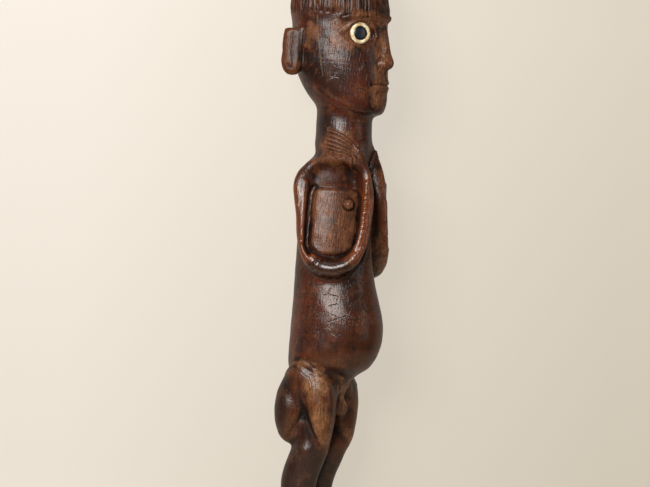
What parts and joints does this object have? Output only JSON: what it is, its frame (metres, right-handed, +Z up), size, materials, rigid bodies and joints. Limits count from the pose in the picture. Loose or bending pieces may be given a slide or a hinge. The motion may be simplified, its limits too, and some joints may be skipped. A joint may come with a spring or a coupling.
{
  "type": "carved ancestor figure",
  "caption": "Standing wooden figure carved from one block, arms looped from shoulder to neck, with bone rings and glass discs inlaid in the eyes.",
  "frame": {"origin": "middle of the figure's width and depth, on the plane of the soles", "axes": "+Z up along the figure's height, +X across it towards its left side, and it faces -Y"},
  "size_m": [0.0532, 0.0701, 0.32],
  "materials": {
    "hardwood": "hand polished, dark red-brown",
    "bone": "polished bone",
    "volcanic_glass": "polished black obsidian",
    "gum": "dried dark resin"
  },
  "bodies": {
    "root": {"carved_figure": "hardwood", "eye_ring_right": "bone", "eye_ring_left": "bone", "eye_pupil_right": "volcanic_glass", "eye_pupil_left": "volcanic_glass", "eye_bedding_right": "gum", "eye_bedding_left": "gum"}
  },
  "joints": []
}
